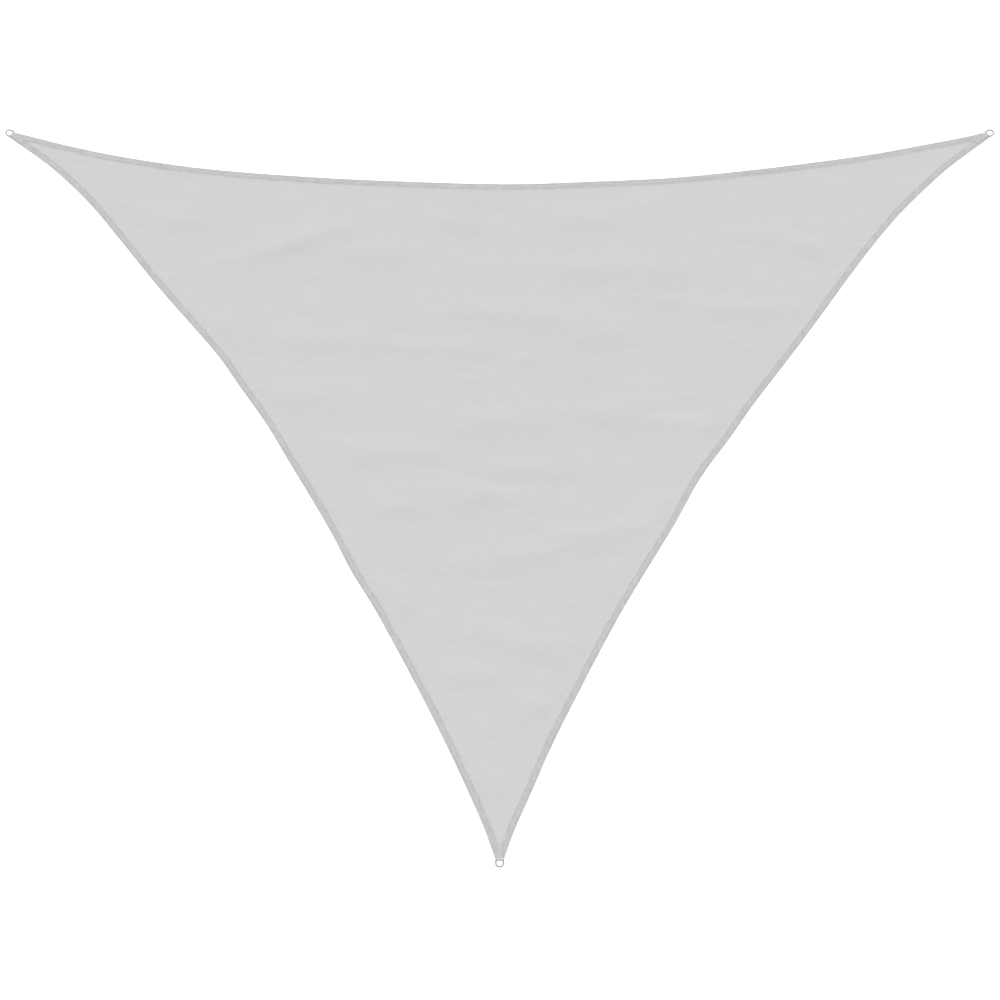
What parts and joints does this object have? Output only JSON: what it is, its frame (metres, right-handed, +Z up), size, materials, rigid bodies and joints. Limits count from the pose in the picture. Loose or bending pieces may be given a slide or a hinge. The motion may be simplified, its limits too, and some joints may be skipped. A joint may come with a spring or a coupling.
{
  "type": "shade sail",
  "caption": "Triangular shade sail of knitted cloth with hollow-cut hemmed edges and a wire D-ring in a webbing loop at each corner, lying flat.",
  "frame": {"origin": "on the ground under the middle of the sail's box", "axes": "+X along the straight top side, +Y from the apex towards that side, +Z up from the ground"},
  "size_m": [3.997, 3.472, 0.0121],
  "materials": {
    "cloth": "knitted shade cloth, matt, off-white, with a folded and twice-stitched hem",
    "webbing": "woven polyester webbing, matt, light grey",
    "steel": "polished stainless steel wire"
  },
  "bodies": {
    "root": {"sail_cloth": "cloth", "webbing_left": "webbing", "webbing_right": "webbing", "webbing_apex": "webbing", "ring_left": "steel", "ring_right": "steel", "ring_apex": "steel"}
  },
  "joints": []
}
